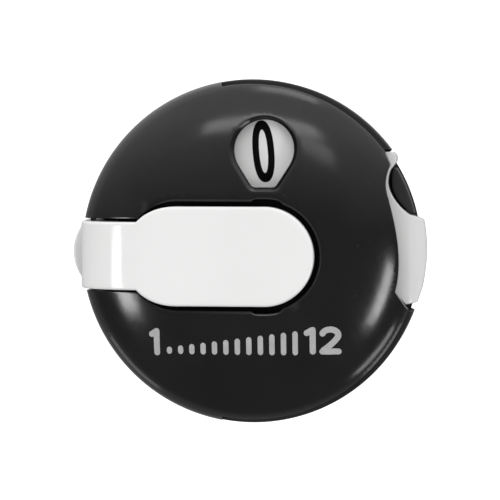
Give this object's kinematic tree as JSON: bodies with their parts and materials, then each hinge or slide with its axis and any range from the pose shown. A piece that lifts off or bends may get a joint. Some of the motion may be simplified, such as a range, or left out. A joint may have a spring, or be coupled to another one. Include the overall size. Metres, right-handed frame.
{
  "type": "hand tally counter",
  "caption": "Round pocket tally counter with a thumb button on a hinged neck, a number disc behind a window, a side reset lever and a sprung belt clip.",
  "frame": {"origin": "on the flat back of the belt clip, behind the middle of the round case", "axes": "+Z out of the face, +Y towards the number window, +X towards the reset lever; lies on its clip at z = 0"},
  "size_m": [0.0426, 0.04, 0.0168],
  "materials": {
    "black_plastic": "glossy moulded ABS, black",
    "white_plastic": "semi-gloss moulded ABS, white",
    "disc_plastic": "satin, light grey with printed black numbers",
    "gear_plastic": "natural acetal",
    "steel": "bright zinc-plated steel",
    "spring_steel": "drawn spring wire and strip"
  },
  "bodies": {
    "case": {"rear_case": "black_plastic", "front_cover": "black_plastic", "guard_plate": "black_plastic", "case_screw_1": "steel", "case_screw_2": "steel", "case_screw_3": "steel", "axle_pin": "steel", "axle_clip": "spring_steel", "click_spring": "spring_steel", "return_spring": "spring_steel", "button_hinge_pin": "steel", "button_spring": "spring_steel", "reset_lever_pin": "steel", "reset_spring": "spring_steel", "clip_pin": "steel", "clip_spring": "spring_steel"},
    "count_button": {"count_button": "white_plastic", "drive_pawl": "spring_steel"},
    "number_disc": {"number_disc": "disc_plastic", "drive_ratchet": "gear_plastic", "click_wheel": "gear_plastic"},
    "reset_lever": {"reset_lever": "white_plastic"},
    "belt_clip": {"belt_clip": "white_plastic"}
  },
  "joints": [
    {"name": "button_press", "type": "hinge", "parent": "case", "child": "count_button", "pos_m": [-0.018, -0.00035, 0.0086], "axis": [0, 1, 0], "range_deg": [0, 3.5], "stiffness_Nm_per_rad": 0.1, "springref_deg": -8.59, "deforming": ["drive_pawl", "button_spring"]},
    {"name": "disc_count", "type": "hinge", "parent": "case", "child": "number_disc", "pos_m": [0.00235, 0.002, 0.0117], "axis": [0, 0, 1], "range_deg": [0, 308.57], "deforming": ["return_spring", "click_spring"]},
    {"name": "reset_press", "type": "hinge", "parent": "case", "child": "reset_lever", "pos_m": [0.0133, 0.0102, 0.008], "axis": [0, 0, -1], "range_deg": [0, 5], "stiffness_Nm_per_rad": 0.08, "springref_deg": -8.59, "deforming": ["reset_spring"]},
    {"name": "clip_open", "type": "hinge", "parent": "case", "child": "belt_clip", "pos_m": [-0.0095, -0.00035, 0.00275], "axis": [0, 1, 0], "range_deg": [0, 10], "stiffness_Nm_per_rad": 0.2, "springref_deg": -22.92, "deforming": ["clip_spring"]}
  ]
}
